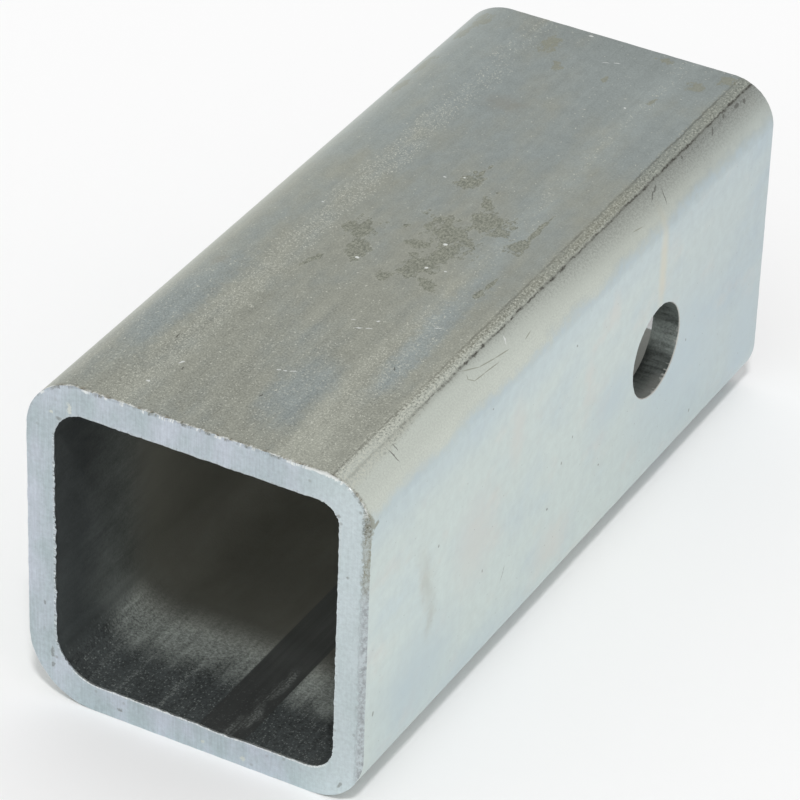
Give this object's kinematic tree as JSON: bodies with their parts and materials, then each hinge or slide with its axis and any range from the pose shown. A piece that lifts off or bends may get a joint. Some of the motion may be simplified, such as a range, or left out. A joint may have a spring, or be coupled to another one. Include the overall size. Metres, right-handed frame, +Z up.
{
  "type": "hitch receiver adapter",
  "caption": "Sawn length of zinc-plated square steel tube with rounded corners and a cross hole for a hitch pin, which sleeves a wide receiver down to a smaller shank.",
  "frame": {"origin": "where the pin hole's axis crosses the tube's centreline", "axes": "+X along the pin hole, +Y along the tube towards the sawn end nearer to the hole, +Z up"},
  "size_m": [0.0636, 0.1474, 0.0636],
  "materials": {
    "zinc_plated_steel": "dull zinc plate over rolled steel, rubbed and stained on top, bare and dark inside"
  },
  "bodies": {
    "root": {"adapter_tube": "zinc_plated_steel"}
  },
  "joints": []
}
